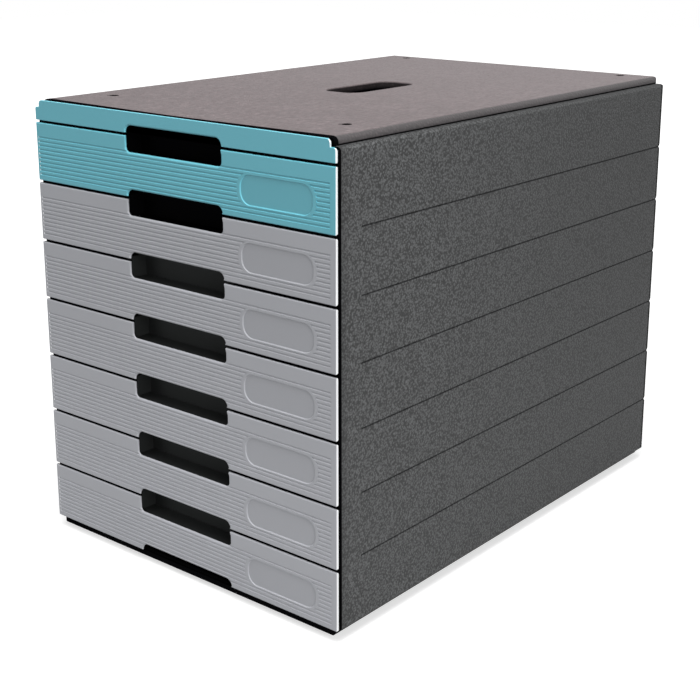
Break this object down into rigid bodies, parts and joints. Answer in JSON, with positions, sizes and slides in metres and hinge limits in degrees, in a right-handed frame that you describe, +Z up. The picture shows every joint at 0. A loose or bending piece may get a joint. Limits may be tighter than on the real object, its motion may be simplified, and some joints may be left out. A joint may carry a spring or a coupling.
{
  "type": "desktop drawer cabinet",
  "caption": "Free-standing moulded plastic desktop cabinet with a column of shallow sliding document drawers, grip notches, label fields and a carrying slot.",
  "frame": {"origin": "centre of the footprint, on the plane that the feet stand on", "axes": "+X to the right seen from the front, -Y out of the drawer fronts, +Z up"},
  "size_m": [0.25, 0.365, 0.2923],
  "materials": {
    "housing_charcoal": "fine spark-eroded grain, charcoal",
    "cover_grey": "fine grain, dark grey",
    "tray_black": "satin, black",
    "front_teal": "satin, teal",
    "front_grey": "satin, light grey",
    "foot_rubber": "matt, black"
  },
  "bodies": {
    "housing": {"side_wall_left": "housing_charcoal", "side_wall_right": "housing_charcoal", "top_cover": "cover_grey", "top_trim": "front_teal", "base_plate": "tray_black", "rear_panel": "housing_charcoal", "foot_front_left": "foot_rubber", "foot_front_right": "foot_rubber", "foot_rear_left": "foot_rubber", "foot_rear_right": "foot_rubber"},
    "drawer_1": {"drawer_tray_1": "tray_black", "drawer_front_1": "front_teal"},
    "drawer_2": {"drawer_tray_2": "tray_black", "drawer_front_2": "front_grey"},
    "drawer_3": {"drawer_tray_3": "tray_black", "drawer_front_3": "front_grey"},
    "drawer_4": {"drawer_tray_4": "tray_black", "drawer_front_4": "front_grey"},
    "drawer_5": {"drawer_tray_5": "tray_black", "drawer_front_5": "front_grey"},
    "drawer_6": {"drawer_tray_6": "tray_black", "drawer_front_6": "front_grey"},
    "drawer_7": {"drawer_tray_7": "tray_black", "drawer_front_7": "front_grey"}
  },
  "joints": [
    {"name": "drawer_1_slide", "type": "slide", "parent": "housing", "child": "drawer_1", "axis": [0, -1, 0], "range_m": [0, 0.265]},
    {"name": "drawer_2_slide", "type": "slide", "parent": "housing", "child": "drawer_2", "axis": [0, -1, 0], "range_m": [0, 0.265]},
    {"name": "drawer_3_slide", "type": "slide", "parent": "housing", "child": "drawer_3", "axis": [0, -1, 0], "range_m": [0, 0.265]},
    {"name": "drawer_4_slide", "type": "slide", "parent": "housing", "child": "drawer_4", "axis": [0, -1, 0], "range_m": [0, 0.265]},
    {"name": "drawer_5_slide", "type": "slide", "parent": "housing", "child": "drawer_5", "axis": [0, -1, 0], "range_m": [0, 0.265]},
    {"name": "drawer_6_slide", "type": "slide", "parent": "housing", "child": "drawer_6", "axis": [0, -1, 0], "range_m": [0, 0.265]},
    {"name": "drawer_7_slide", "type": "slide", "parent": "housing", "child": "drawer_7", "axis": [0, -1, 0], "range_m": [0, 0.265]}
  ]
}
